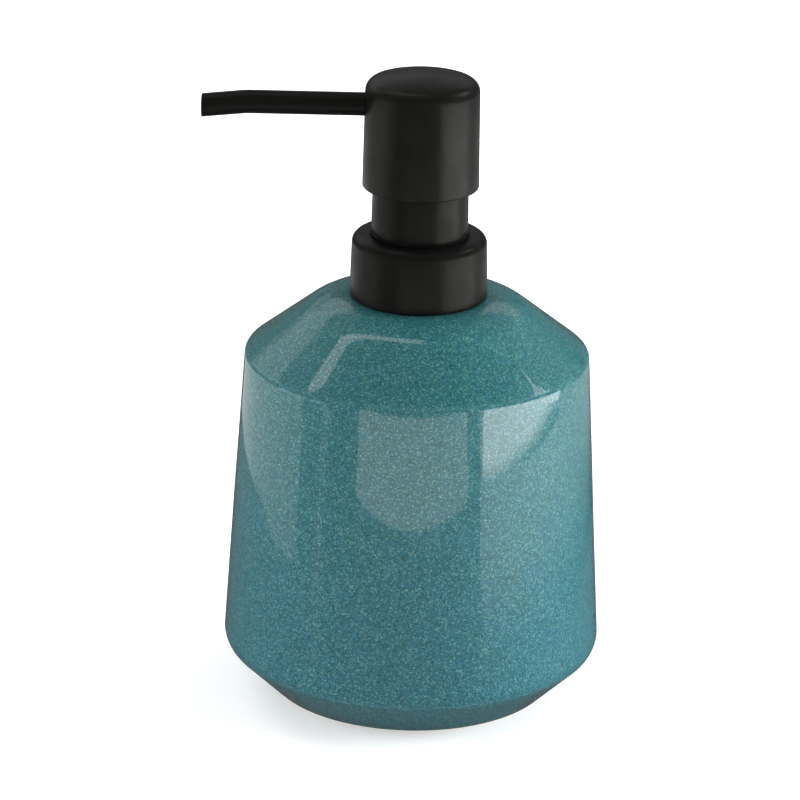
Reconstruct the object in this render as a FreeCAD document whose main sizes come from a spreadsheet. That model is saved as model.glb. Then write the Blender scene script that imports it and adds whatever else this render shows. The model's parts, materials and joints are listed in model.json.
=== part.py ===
# Soap pump dispenser: a glazed ceramic bottle with a screw-on lotion pump.
#
# Every piece is an object of one document, and its sizes are bound to the spreadsheet "Sizes", in mm.
# +Z is up, the origin is the centre of the foot ring, and the spout points along -X.

import FreeCAD, Part
import math
import os
import re

import Sketcher
from FreeCAD import Vector

SIZES = {
    "bottle": {
        "foot_outer_radius": 33.2,
        "foot_inner_radius": 28.0,
        "foot_recess_depth": 1.2,
        "foot_round": 1.0,
        "belly_radius": 44.5,
        "belly_height": 10.9,
        "belly_round": 4.2,
        "shoulder_radius": 40.2,
        "shoulder_height": 81.9,
        "shoulder_round": 1.3,
        "land_radius": 22.4,
        "land_height": 95.8,
        "land_round": 14.0,
        "mouth_radius": 12.0,
        "mouth_depth": 4.4,
        "cavity_land_radius": 20.9,
        "cavity_shoulder_radius": 35.9,
        "cavity_shoulder_height": 79.7,
        "cavity_belly_radius": 40.0,
        "cavity_belly_height": 12.7,
        "cavity_floor_radius": 32.6,
        "cavity_floor": 5.6,
        "cavity_round": 3.0,
    },
    "neck": {
        "bond_line": 0.3,
        "bond_depth": 8.0,
        "plug_depth": 9.8,
        "neck_bore_radius": 10.3,
        "neck_flange_radius": 13.3,
        "neck_flange_thickness": 0.8,
        "seal_ring_thickness": 0.4,
        "neck_radius": 12.5,
        "neck_height": 105.6,
        "gasket_thickness": 1.0,
    },
    "thread": {
        "pitch": 4.23,
        "thread_turns": 1.1,
        "thread_depth": 1.0,
        "thread_root_width": 1.8,
        "thread_crest_width": 0.8,
        "thread_root_overlap": 0.25,
        "thread_start_height": 99.7,
        "thread_flank_gap": 0.25,
        "thread_crest_gap": 0.25,
    },
    "collar": {
        "collar_radius": 16.0,
        "collar_top_radius": 15.55,
        "collar_base_height": 96.0,
        "collar_top_height": 110.65,
        "collar_round": 2.0,
        "collar_roof": 0.8,
        "closure_radius": 14.4,
        "closure_base_height": 96.4,
        "closure_roof": 1.25,
        "closure_hole_radius": 9.2,
        "grip_rib_width": 0.8,
        "grip_rib_height": 0.25,
        "grip_rib_inset": 1.0,
        "rib_root": 0.3,
    },
    "sleeve": {
        "sleeve_radius": 11.2,
        "sleeve_top_radius": 11.0,
        "sleeve_wall": 1.0,
        "sleeve_top_height": 126.4,
        "sleeve_rim_round": 0.3,
        "sleeve_hole_gap": 0.2,
        "sleeve_lip": 0.15,
        "sleeve_lip_gap": 0.15,
        "sleeve_lip_height": 0.5,
        "sleeve_flange_radius": 12.6,
        "sleeve_flange_thickness": 0.8,
    },
    "barrel": {
        "barrel_bore_radius": 7.0,
        "barrel_radius": 8.2,
        "barrel_neck_radius": 8.6,
        "barrel_step_top": 101.8,
        "barrel_step_base": 100.8,
        "barrel_flange_radius": 12.2,
        "barrel_flange_thickness": 1.2,
        "barrel_top_height": 111.5,
        "barrel_floor_height": 66.5,
        "barrel_floor_thickness": 1.2,
        "ball_chamber_radius": 3.0,
        "ball_chamber_top": 63.0,
        "seat_height": 60.0,
        "seat_radius": 1.9,
        "seat_thickness": 1.2,
        "seat_lead_in": 0.9,
        "dip_socket_end": 46.0,
        "dip_socket_radius": 4.2,
        "vent_radius": 0.5,
        "vent_height": 104.75,
    },
    "cap": {
        "cap_skirt_radius": 9.95,
        "cap_skirt_base": 109.9,
        "cap_top_height": 113.0,
        "cap_stop_height": 105.4,
        "cap_guide_radius": 5.3,
        "cap_guide_top": 119.6,
        "cap_land_length": 3.0,
        "cap_relief": 0.7,
    },
    "tube": {
        "dip_tube_radius": 2.85,
        "dip_tube_bore": 2.0,
        "dip_tube_end": 7.2,
        "dip_tube_slant": 3.4,
        "slant_margin": 1.0,
    },
    "spring": {
        "wire_radius": 0.45,
        "coil_radius": 5.1,
        "coil_pitch": 3.4,
        "spring_seat_height": 68.0,
        "cage_radius": 6.9,
        "cage_stop_height": 65.1,
        "cage_stop_radius": 1.5,
        "cage_hole_radius": 1.1,
        "cage_hole_circle": 3.2,
    },
    "plunger": {
        "stem_radius": 3.6,
        "stem_bore": 2.2,
        "stem_shoulder_radius": 5.2,
        "stem_shoulder_base": 104.05,
        "stem_shoulder_top": 105.3,
        "stem_base": 97.8,
        "stem_top": 136.6,
        "stem_seat_length": 2.0,
        "stem_seat_taper": 1.0,
        "piston_base": 98.2,
        "piston_top": 104.0,
        "piston_lip_height": 0.9,
        "piston_lip_thickness": 0.5,
        "piston_waist_radius": 6.3,
        "piston_groove_radius": 5.8,
        "piston_groove_depth": 0.5,
        "retainer_radius": 5.9,
        "retainer_base": 96.3,
        "retainer_bore": 1.3,
        "retainer_shank_top": 102.0,
        "retainer_pilot_radius": 4.2,
        "retainer_pilot_depth": 1.5,
        "retainer_pilot_taper": 0.2,
        "ball_radius": 2.38,
        "ball_seat_gap": 0.06,
    },
    "head": {
        "head_radius": 13.42,
        "head_top_radius": 13.1,
        "head_base_height": 122.15,
        "head_edge_height": 146.9,
        "head_top_height": 148.75,
        "head_round": 2.6,
        "head_bore_radius": 11.75,
        "head_roof_height": 145.6,
        "core_base_height": 138.0,
        "core_plate": 1.2,
        "core_rim_wall": 1.0,
        "core_rim_top": 145.5,
        "core_boss_radius": 5.4,
        "core_boss_base": 131.0,
        "core_boss_top": 144.6,
        "core_chamber_radius": 2.9,
        "core_chamber_top": 143.2,
        "core_stop_radius": 1.0,
        "core_stop_height": 141.7,
        "core_skirt_radius": 9.7,
        "core_skirt_wall": 0.9,
        "core_skirt_base": 124.6,
        "core_rib_width": 1.0,
        "core_rib_drop": 1.5,
        "core_socket_radius": 3.9,
        "core_socket_root": 0.8,
        "core_socket_setback": 1.0,
        "core_socket_depth": 5.6,
        "core_duct_gap": 0.2,
    },
    "spout": {
        "spout_radius": 2.7,
        "spout_bore": 1.9,
        "spout_height": 141.3,
        "spout_bend_reach": 39.0,
        "spout_bend_radius": 22.0,
        "spout_droop_angle": 6.0,
        "spout_reach": 50.4,
        "spout_trim": 1.5,
        "spout_tip_round": 0.35,
        "fit_gap": 0.05,
    },
}

CAGE_HOLES = 6
CORE_RIBS = 4
GRIP_RIBS = 12

SHEET = "Sizes"
PARTS_FOLDER = "parts"
PAD, POCKET = "PartDesign::Pad", "PartDesign::Pocket"
H_AXIS, V_AXIS, ROOT = -1, -2, (-1, 1)
START, END, CENTRE = 1, 2, 3
THROUGH_ALL = 1
FULL_TURN = 360.0
MATCH = 0.02
LEAST_CHANGE = 1e-3
SOLVER_START, SOLVER_SPREAD = Vector(10, 50, 0), 5.0

doc = FreeCAD.newDocument("soap_pump_dispenser")
pieces = []


def fill_sheet():
    """Writes every driving size into the spreadsheet, one alias a row under its group's name."""
    cells = doc.addObject("Spreadsheet::Sheet", SHEET)
    row = 1
    for group, sizes in SIZES.items():
        cells.set(f"A{row}", group)
        row += 1
        for alias, value in sizes.items():
            cells.set(f"A{row}", alias)
            cells.set(f"B{row}", str(value))
            cells.setAlias(f"B{row}", alias)
            row += 1
    doc.recompute()
    return cells


sheet = fill_sheet()


def size(alias):
    """The value of one cell."""
    return float(sheet.get(alias))


def bound(text):
    """Turns an expression on aliases into FreeCAD's expression on the sheet's cells."""
    return re.sub(r"[a-z][a-z_]+\b(?!\()", lambda word: f"{SHEET}.{word.group(0)}", text)


# ---- Sketches ----


def new_body(label):
    """An empty body that is kept as one piece."""
    body = doc.addObject("PartDesign::Body", label)
    body.Label = label
    pieces.append(body)
    return body


def origin_part(body, role):
    """One of the body's own origin planes or axes, found by its role."""
    return next(item for item in body.Origin.OriginFeatures if item.Role == role)


def new_sketch(body, name, role="XZ_Plane", offset=None):
    """A sketch on one of the body's own origin planes, or at an offset expression from it."""
    sketch = body.newObject("Sketcher::SketchObject", name)
    sketch.AttachmentSupport = [(origin_part(body, role), "")]
    sketch.MapMode = "FlatFace"
    if offset is not None:
        sketch.setExpression("AttachmentOffset.Base.z", bound(offset))
    return sketch


def hold(sketch, kind, points, text):
    """Adds a constraint whose value is an expression."""
    index = sketch.addConstraint(Sketcher.Constraint(kind, *points, 1.0))
    sketch.setExpression(f"Constraints[{index}]", bound(text))


def pin(sketch, geometry, end, across, up):
    """Holds a sketch point at two expressions from the sketch's root."""
    for kind, axis, text in (("DistanceX", V_AXIS, across), ("DistanceY", H_AXIS, up)):
        if text == "0":
            sketch.addConstraint(Sketcher.Constraint("PointOnObject", geometry, end, axis))
        else:
            hold(sketch, kind, (*ROOT, geometry, end), text)


def closed_lines(sketch, corners):
    """Joins straight edges into one loop through the corners."""
    count = len(corners)
    lines = [
        sketch.addGeometry(Part.LineSegment(corners[i], corners[(i + 1) % count]))
        for i in range(count)
    ]
    for i, line in enumerate(lines):
        following = lines[(i + 1) % count]
        sketch.addConstraint(Sketcher.Constraint("Coincident", line, END, following, START))
    return lines


def outline(sketch, corners):
    """Draws a closed outline of straight edges whose corners are pairs of expressions."""
    step = 2 * math.pi / len(corners)
    start = [
        SOLVER_START + Vector(math.cos(i * step), math.sin(i * step), 0) * SOLVER_SPREAD
        for i in range(len(corners))
    ]
    lines = closed_lines(sketch, start)
    for line, (across, up) in zip(lines, corners):
        pin(sketch, line, START, across, up)
    return lines


def circle(sketch, across, up, radius):
    """Draws a circle whose centre and radius are expressions."""
    ring = sketch.addGeometry(Part.Circle(Vector(1, 1, 0), Vector(0, 0, 1), 1.0))
    pin(sketch, ring, CENTRE, across, up)
    hold(sketch, "Radius", (ring,), radius)


# ---- Features ----


def turn(body, sketch, name):
    """Turns a sketch in the XZ plane all the way round Z."""
    turned = body.newObject("PartDesign::Revolution", name)
    turned.Profile = sketch
    turned.ReferenceAxis = (sketch, ["V_Axis"])
    turned.Angle = FULL_TURN
    sketch.Visibility = False
    doc.recompute()


def turned_piece(label, corners):
    """A body made by turning one closed outline round Z."""
    body = new_body(label)
    sketch = new_sketch(body, f"{label}_section")
    outline(sketch, corners)
    turn(body, sketch, f"{label}_turned")
    return body


def volume(body):
    """The body's volume, or nothing while it is empty."""
    return 0.0 if body.Shape.isNull() else body.Shape.Volume


def recompute_checked(body, name, before, adds):
    """Recomputes, and raises if the feature didn't change the volume the way it should."""
    doc.recompute()
    change = volume(body) - before
    if (change > 0) != adds or abs(change) < LEAST_CHANGE:
        raise RuntimeError(f"{name} changed the volume by {change:.4f} mm3")


def extrude(body, kind, sketch, name, length=None, both_ways=True, reverse=False):
    """Pads or pockets a sketch over a length expression or, without one, through everything."""
    before = volume(body)
    feature = body.newObject(kind, name)
    feature.Profile = sketch
    feature.Midplane = both_ways
    feature.Reversed = reverse
    if length is None:
        feature.Type = THROUGH_ALL
    else:
        feature.setExpression("Length", bound(length))
    sketch.Visibility = False
    recompute_checked(body, name, before, adds=kind == PAD)
    return feature


def wind(body, sketch, name, pitch, height):
    """Winds a sketch in the XZ plane round Z as a right-handed helix."""
    before = volume(body)
    helix = body.newObject("PartDesign::AdditiveHelix", name)
    helix.Profile = sketch
    helix.ReferenceAxis = (sketch, ["V_Axis"])
    helix.Mode = "pitch-height-angle"
    helix.setExpression("Pitch", bound(pitch))
    helix.setExpression("Height", bound(height))
    sketch.Visibility = False
    recompute_checked(body, name, before, adds=True)


def ring_of(body, feature, name, count):
    """Repeats a feature round Z."""
    pattern = body.newObject("PartDesign::PolarPattern", name)
    pattern.Originals = [feature]
    pattern.Axis = (origin_part(body, "Z_Axis"), [""])
    pattern.Angle = FULL_TURN
    pattern.Occurrences = count
    body.Tip = pattern
    doc.recompute()


def fillet(body, name, edges, radius):
    """Rounds the named edges of the body's last feature."""
    last = body.Tip
    rounding = body.newObject("PartDesign::Fillet", name)
    rounding.Base = (last, edges)
    rounding.setExpression("Radius", bound(radius))
    doc.recompute()


def ring_edges(shape, radius, height):
    """Names of the round edges of that radius about Z at that height."""
    names = []
    for number, edge in enumerate(shape.Edges, 1):
        if edge.Degenerated or edge.Curve.TypeId != "Part::GeomCircle":
            continue
        centre = edge.Curve.Center
        on_axis = math.hypot(centre.x, centre.y) < MATCH
        if on_axis and abs(edge.Curve.Radius - radius) < MATCH and abs(centre.z - height) < MATCH:
            names.append(f"Edge{number}")
    return names


def round_rings(body, name, rings, radius):
    """Rounds the ring edges that the (radius, height) pairs of aliases name."""
    names = [found for r, z in rings for found in ring_edges(body.Shape, size(r), size(z))]
    if len(names) != len(rings):
        raise RuntimeError(f"{name}: {len(names)} edges found for {len(rings)} rings")
    fillet(body, name, names, radius)


# ---- The bottle and its neck ----


def make_bottle():
    """The ceramic bottle: foot ring, chamfered belly, leaning wall, sloping shoulder and open mouth."""
    body = turned_piece(
        "bottle",
        [
            ("foot_inner_radius", "0"),
            ("foot_outer_radius", "0"),
            ("belly_radius", "belly_height"),
            ("shoulder_radius", "shoulder_height"),
            ("land_radius", "land_height"),
            ("mouth_radius", "land_height"),
            ("mouth_radius", "land_height - mouth_depth"),
            ("cavity_land_radius", "land_height - mouth_depth"),
            ("cavity_shoulder_radius", "cavity_shoulder_height"),
            ("cavity_belly_radius", "cavity_belly_height"),
            ("cavity_floor_radius", "cavity_floor"),
            ("0", "cavity_floor"),
            ("0", "foot_recess_depth"),
            ("foot_inner_radius", "foot_recess_depth"),
        ],
    )
    for corner in ("land", "shoulder", "belly"):
        round_rings(body, f"{corner}_rounding", [(f"{corner}_radius", f"{corner}_height")], f"{corner}_round")
    cavity_corners = [
        ("cavity_shoulder_radius", "cavity_shoulder_height"),
        ("cavity_belly_radius", "cavity_belly_height"),
        ("cavity_floor_radius", "cavity_floor"),
    ]
    round_rings(body, "cavity_rounding", cavity_corners, "cavity_round")
    foot = ring_edges(body.Shape, size("foot_outer_radius"), 0.0)
    fillet(body, "foot_rounding", foot, "foot_round")


def thread_sketch(body, name, root, crest, height):
    """The thread's section: a wedge from its root radius to its crest radius about a height."""
    sketch = new_sketch(body, name)
    outline(
        sketch,
        [
            (root, f"{height} - thread_root_width / 2"),
            (crest, f"{height} - thread_crest_width / 2"),
            (crest, f"{height} + thread_crest_width / 2"),
            (root, f"{height} + thread_root_width / 2"),
        ],
    )
    return sketch


def make_neck_insert():
    """The threaded plastic neck, a plug bonded into the ceramic mouth under a thin flange."""
    plug = "mouth_radius - bond_line"
    base = "land_height + seal_ring_thickness"
    flange_top = f"{base} + neck_flange_thickness"
    body = turned_piece(
        "neck_insert",
        [
            ("neck_bore_radius", "land_height - plug_depth"),
            (plug, "land_height - plug_depth"),
            (plug, base),
            ("neck_flange_radius", base),
            ("neck_flange_radius", flange_top),
            ("neck_radius", flange_top),
            ("neck_radius", "neck_height"),
            ("neck_bore_radius", "neck_height"),
        ],
    )
    root = "neck_radius - thread_root_overlap"
    crest = "neck_radius + thread_depth"
    sketch = thread_sketch(body, "neck_thread_section", root, crest, "thread_start_height")
    wind(body, sketch, "neck_thread", "pitch", "pitch * thread_turns")


def washer(label, inner, outer, base, top):
    """A flat ring between two radii and two heights."""
    turned_piece(label, [(inner, base), (outer, base), (outer, top), (inner, top)])


def make_neck_rings():
    """The bead that bonds the neck, the ring under its flange and the gasket on its top."""
    turned_piece(
        "neck_bond",
        [
            ("mouth_radius - bond_line", "land_height - bond_depth"),
            ("mouth_radius", "land_height - bond_depth + bond_line"),
            ("mouth_radius", "land_height"),
            ("mouth_radius - bond_line", "land_height"),
        ],
    )
    seal_top = "land_height + seal_ring_thickness"
    washer("neck_seal_ring", "mouth_radius", "neck_flange_radius", "land_height", seal_top)
    gasket_top = "neck_height + gasket_thickness"
    washer("neck_gasket", "neck_bore_radius", "barrel_flange_radius", "neck_height", gasket_top)


# ---- The collar ----

SHELL_ROOF = "collar_top_height - collar_roof"
CLOSURE_TOP = f"{SHELL_ROOF} - sleeve_flange_thickness"


def make_collar_shell():
    """The collar's outer shell: a slightly tapered cup with a round edge and a hole for the sleeve."""
    inner = "closure_radius + grip_rib_height + fit_gap"
    body = turned_piece(
        "collar_shell",
        [
            (inner, "collar_base_height"),
            ("collar_radius", "collar_base_height"),
            ("collar_top_radius", "collar_top_height"),
            ("sleeve_radius + sleeve_hole_gap", "collar_top_height"),
            ("sleeve_radius + sleeve_hole_gap", SHELL_ROOF),
            (inner, SHELL_ROOF),
        ],
    )
    round_rings(body, "collar_rounding", [("collar_top_radius", "collar_top_height")], "collar_round")


def make_screw_closure():
    """The threaded cap inside the collar's shell, which clamps the barrel's flange on the gasket."""
    root = "neck_radius + thread_crest_gap + thread_depth"
    body = turned_piece(
        "screw_closure",
        [
            (root, "closure_base_height"),
            ("closure_radius", "closure_base_height"),
            ("closure_radius", CLOSURE_TOP),
            ("closure_hole_radius", CLOSURE_TOP),
            ("closure_hole_radius", f"{CLOSURE_TOP} - closure_roof"),
            (root, f"{CLOSURE_TOP} - closure_roof"),
        ],
    )
    below = "(thread_root_width + thread_crest_width) / 2 + thread_flank_gap"
    sketch = thread_sketch(
        body,
        "closure_thread_section",
        f"{root} + thread_root_overlap",
        f"{root} - thread_depth",
        f"thread_start_height - ({below})",
    )
    wind(body, sketch, "closure_thread", "pitch", "pitch * thread_turns")
    rib = new_sketch(body, "grip_rib_section", "XY_Plane", "closure_base_height + grip_rib_inset")
    outline(
        rib,
        [
            ("closure_radius - rib_root", "0"),
            ("closure_radius + grip_rib_height", "0"),
            ("closure_radius + grip_rib_height", "grip_rib_width"),
            ("closure_radius - rib_root", "grip_rib_width"),
        ],
    )
    height = f"{CLOSURE_TOP} - closure_base_height - grip_rib_inset"
    ribbed = extrude(body, PAD, rib, "grip_rib", height, both_ways=False)
    ring_of(body, ribbed, "grip_ribs", GRIP_RIBS)


def make_guide_sleeve():
    """The sleeve that rises from the collar and guides the head, trapped by its foot flange.

    A small lip hides the gap round the collar's hole, and still passes up through that hole.
    """
    lip_base = "collar_top_height + sleeve_lip_gap"
    lip_top = f"{lip_base} + sleeve_lip_height"
    body = turned_piece(
        "guide_sleeve",
        [
            ("sleeve_radius - sleeve_wall", CLOSURE_TOP),
            ("sleeve_flange_radius", CLOSURE_TOP),
            ("sleeve_flange_radius", SHELL_ROOF),
            ("sleeve_radius", SHELL_ROOF),
            ("sleeve_radius", lip_base),
            ("sleeve_radius + sleeve_lip", lip_base),
            ("sleeve_radius + sleeve_lip", lip_top),
            ("sleeve_radius", lip_top),
            ("sleeve_top_radius", "sleeve_top_height"),
            ("sleeve_top_radius - sleeve_wall", "sleeve_top_height"),
        ],
    )
    round_rings(body, "sleeve_rim", [("sleeve_top_radius", "sleeve_top_height")], "sleeve_rim_round")


# ---- The cylinder ----


def make_pump_barrel():
    """The pump's cylinder: flange, bore, ball seat and the socket for the dip tube."""
    flange = "neck_height + gasket_thickness"
    body = turned_piece(
        "pump_barrel",
        [
            ("barrel_bore_radius", "barrel_floor_height"),
            ("barrel_bore_radius", "barrel_top_height"),
            ("barrel_neck_radius", "barrel_top_height"),
            ("barrel_neck_radius", f"{flange} + barrel_flange_thickness"),
            ("barrel_flange_radius", f"{flange} + barrel_flange_thickness"),
            ("barrel_flange_radius", flange),
            ("barrel_neck_radius", flange),
            ("barrel_neck_radius", "barrel_step_top"),
            ("barrel_radius", "barrel_step_base"),
            ("barrel_radius", "barrel_floor_height - barrel_floor_thickness"),
            ("dip_socket_radius", "ball_chamber_top - barrel_floor_thickness"),
            ("dip_socket_radius", "dip_socket_end"),
            ("dip_tube_radius + fit_gap", "dip_socket_end"),
            ("dip_tube_radius + fit_gap", "seat_height - seat_thickness"),
            ("seat_radius", "seat_height - seat_thickness"),
            ("seat_radius", "seat_height"),
            ("ball_chamber_radius", "seat_height + seat_lead_in"),
            ("ball_chamber_radius", "ball_chamber_top"),
        ],
    )
    vent = new_sketch(body, "vent_section", "YZ_Plane")
    circle(vent, "0", "vent_height", "vent_radius")
    extrude(body, POCKET, vent, "vent_holes")


def make_cylinder_cap():
    """The cap on the barrel: it guides the stem, stops the plunger and keeps the closure on."""
    guide = "stem_radius + fit_gap"
    relief = f"{guide} + cap_relief"
    turned_piece(
        "cylinder_cap",
        [
            (guide, "cap_stop_height"),
            ("barrel_bore_radius - fit_gap", "cap_stop_height"),
            ("barrel_bore_radius - fit_gap", "barrel_top_height"),
            ("barrel_neck_radius + fit_gap", "barrel_top_height"),
            ("barrel_neck_radius + fit_gap", "cap_skirt_base"),
            ("cap_skirt_radius", "cap_skirt_base"),
            ("cap_skirt_radius", "cap_top_height"),
            ("cap_guide_radius", "cap_top_height"),
            ("cap_guide_radius", "cap_guide_top"),
            (guide, "cap_guide_top"),
            (guide, "cap_guide_top - cap_land_length"),
            (relief, "cap_guide_top - cap_land_length - cap_relief"),
            (relief, "cap_stop_height + cap_land_length + cap_relief"),
            (guide, "cap_stop_height + cap_land_length"),
        ],
    )


def make_dip_tube():
    """The tube that reaches the bottle's floor, with its lower end cut on a slant."""
    base = "dip_tube_end"
    top = "seat_height - seat_thickness"
    body = turned_piece(
        "dip_tube",
        [("dip_tube_bore", base), ("dip_tube_radius", base), ("dip_tube_radius", top), ("dip_tube_bore", top)],
    )
    wedge = new_sketch(body, "slant_section")
    side = size("dip_tube_radius") + size("slant_margin")
    low = size("dip_tube_end") - size("slant_margin")
    high = size("dip_tube_end") + size("dip_tube_slant")
    lines = closed_lines(wedge, [Vector(-side, low, 0), Vector(side, low, 0), Vector(side, high, 0)])
    wedge.addConstraint(Sketcher.Constraint("Symmetric", lines[0], START, lines[0], END, V_AXIS))
    wedge.addConstraint(Sketcher.Constraint("Vertical", lines[1]))
    pin(wedge, lines[1], START, "dip_tube_radius + slant_margin", "dip_tube_end - slant_margin")
    hold(wedge, "DistanceY", (lines[1], START, lines[1], END), "dip_tube_slant + slant_margin")
    extrude(body, POCKET, wedge, "slant_cut")


def make_ball_cage():
    """The perforated disc on the barrel's floor: the spring's seat and the inlet ball's stop."""
    body = turned_piece(
        "ball_cage",
        [
            ("0", "cage_stop_height"),
            ("cage_stop_radius", "cage_stop_height"),
            ("cage_stop_radius", "barrel_floor_height"),
            ("cage_radius", "barrel_floor_height"),
            ("cage_radius", "spring_seat_height"),
            ("0", "spring_seat_height"),
        ],
    )
    hole = new_sketch(body, "cage_hole_section", "XY_Plane", "spring_seat_height")
    circle(hole, "cage_hole_circle", "0", "cage_hole_radius")
    drilled = extrude(body, POCKET, hole, "cage_hole")
    ring_of(body, drilled, "cage_holes", CAGE_HOLES)


def make_return_spring():
    """The steel return spring between the cage and the piston retainer."""
    body = new_body("return_spring")
    wire = new_sketch(body, "wire_section")
    circle(wire, "coil_radius", "spring_seat_height + wire_radius + fit_gap", "wire_radius")
    height = "retainer_base - spring_seat_height - 2 * wire_radius - 2 * fit_gap"
    wind(body, wire, "spring_coil", "coil_pitch", height)


# ---- The plunger ----


def make_ball(label, seat):
    """A valve ball just above the round edge of its seat, whose height is an expression."""
    ball = doc.addObject("Part::Sphere", label)
    ball.Label = label
    ball.setExpression("Radius", bound("ball_radius"))
    rise = "sqrt(ball_radius ^ 2 - seat_radius ^ 2)"
    ball.setExpression("Placement.Base.z", bound(f"{seat} + {rise} + ball_seat_gap"))
    pieces.append(ball)


def make_piston_seal():
    """The soft piston: a sleeve with a wiping lip at each end, free to turn on the stem."""
    bore = "stem_radius + fit_gap"
    wall = "barrel_bore_radius - fit_gap"
    lip = f"{wall} - piston_lip_thickness"
    turned_piece(
        "piston_seal",
        [
            (bore, "piston_base"),
            ("piston_groove_radius", "piston_base + piston_groove_depth"),
            (lip, "piston_base"),
            (wall, "piston_base"),
            (wall, "piston_base + piston_lip_height"),
            ("piston_waist_radius", "piston_base + 2 * piston_lip_height"),
            ("piston_waist_radius", "piston_top - 2 * piston_lip_height"),
            (wall, "piston_top - piston_lip_height"),
            (wall, "piston_top"),
            (lip, "piston_top"),
            ("piston_groove_radius", "piston_top - piston_groove_depth"),
            (bore, "piston_top"),
        ],
    )


def make_stem():
    """The hollow stem: its shoulder stops under the cap, and its top is the outlet ball's seat."""
    turned_piece(
        "stem",
        [
            ("stem_bore", "stem_base"),
            ("stem_radius", "stem_base"),
            ("stem_radius", "stem_shoulder_base"),
            ("stem_shoulder_radius", "stem_shoulder_base"),
            ("stem_shoulder_radius", "stem_shoulder_top"),
            ("stem_radius", "stem_shoulder_top"),
            ("stem_radius", "stem_top"),
            ("seat_radius", "stem_top"),
            ("seat_radius", "stem_top - stem_seat_length"),
            ("stem_bore", "stem_top - stem_seat_length - stem_seat_taper"),
        ],
    )


def make_piston_retainer():
    """The flanged plug in the stem's foot, which keeps the piston on and takes the spring."""
    turned_piece(
        "piston_retainer",
        [
            ("retainer_bore", "retainer_base - retainer_pilot_depth"),
            ("retainer_pilot_radius - retainer_pilot_taper", "retainer_base - retainer_pilot_depth"),
            ("retainer_pilot_radius", "retainer_base"),
            ("retainer_radius", "retainer_base"),
            ("retainer_radius", "stem_base"),
            ("stem_bore", "stem_base"),
            ("stem_bore", "retainer_shank_top"),
            ("retainer_bore", "retainer_shank_top"),
        ],
    )


# ---- The head ----

CORE_RIM = "head_bore_radius - fit_gap"
SPOUT_ROOT = f"({CORE_RIM} - core_socket_depth)"


def dome_over(sketch, chord):
    """Replaces the straight edge of an outline, out to its end on the axis, with a low dome."""
    doc.recompute()
    sketch.toggleConstruction(chord)
    rise = size("head_top_height") - size("head_edge_height")
    reach = size("head_top_radius")
    radius = (reach**2 + rise**2) / (2 * rise)
    centre = Vector(0, size("head_top_height") - radius, 0)
    slope = math.atan2(radius - rise, reach)
    ring = Part.Circle(centre, Vector(0, 0, 1), radius)
    dome = sketch.addGeometry(Part.ArcOfCircle(ring, slope, math.pi / 2))
    sketch.addConstraint(Sketcher.Constraint("Coincident", dome, START, chord, START))
    sketch.addConstraint(Sketcher.Constraint("Coincident", dome, END, chord, END))
    sketch.addConstraint(Sketcher.Constraint("PointOnObject", dome, CENTRE, V_AXIS))


def make_head_shell():
    """The head's shell: a tapered cup with a low dome, a round edge and a hole for the spout."""
    body = new_body("head_shell")
    sketch = new_sketch(body, "head_shell_section")
    lines = outline(
        sketch,
        [
            ("head_bore_radius", "head_base_height"),
            ("head_radius", "head_base_height"),
            ("head_top_radius", "head_edge_height"),
            ("0", "head_top_height"),
            ("0", "head_roof_height"),
            ("head_bore_radius", "head_roof_height"),
        ],
    )
    dome_over(sketch, lines[2])
    turn(body, sketch, "head_shell_turned")
    round_rings(body, "head_rounding", [("head_top_radius", "head_edge_height")], "head_round")
    hole = new_sketch(body, "spout_hole_section", "YZ_Plane")
    circle(hole, "0", "spout_height", "spout_radius + fit_gap")
    extrude(body, POCKET, hole, "spout_hole", "head_radius", both_ways=False)


def make_head_core():
    """The core in the head: the stem's boss, the outlet valve's chamber, a guide skirt and ribs."""
    plate_top = "core_base_height + core_plate"
    skirt_bore = "core_skirt_radius - core_skirt_wall"
    body = turned_piece(
        "head_core",
        [
            ("stem_radius", "core_boss_base"),
            ("core_boss_radius", "core_boss_base"),
            ("core_boss_radius", "core_base_height"),
            (skirt_bore, "core_base_height"),
            (skirt_bore, "core_skirt_base"),
            ("core_skirt_radius", "core_skirt_base"),
            ("core_skirt_radius", "core_base_height"),
            (CORE_RIM, "core_base_height"),
            (CORE_RIM, "core_rim_top"),
            (f"{CORE_RIM} - core_rim_wall", "core_rim_top"),
            (f"{CORE_RIM} - core_rim_wall", plate_top),
            ("core_boss_radius", plate_top),
            ("core_boss_radius", "core_boss_top"),
            ("0", "core_boss_top"),
            ("0", "core_stop_height"),
            ("core_stop_radius", "core_stop_height"),
            ("core_stop_radius", "core_chamber_top"),
            ("core_chamber_radius", "core_chamber_top"),
            ("core_chamber_radius", "stem_top"),
            ("stem_radius", "stem_top"),
        ],
    )
    add_core_ribs(body, plate_top)
    add_spout_socket(body)


def add_core_ribs(body, plate_top):
    """Adds the ribs between the core's boss and its rim."""
    inner, outer = "core_boss_radius - rib_root", f"{CORE_RIM} - rib_root"
    low, high = f"{plate_top} - rib_root", "core_boss_top - core_rib_drop"
    rib = new_sketch(body, "core_rib_section")
    outline(rib, [(inner, low), (outer, low), (outer, high), (inner, high)])
    ribbed = extrude(body, PAD, rib, "core_rib", "core_rib_width")
    ring_of(body, ribbed, "core_ribs", CORE_RIBS)


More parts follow.
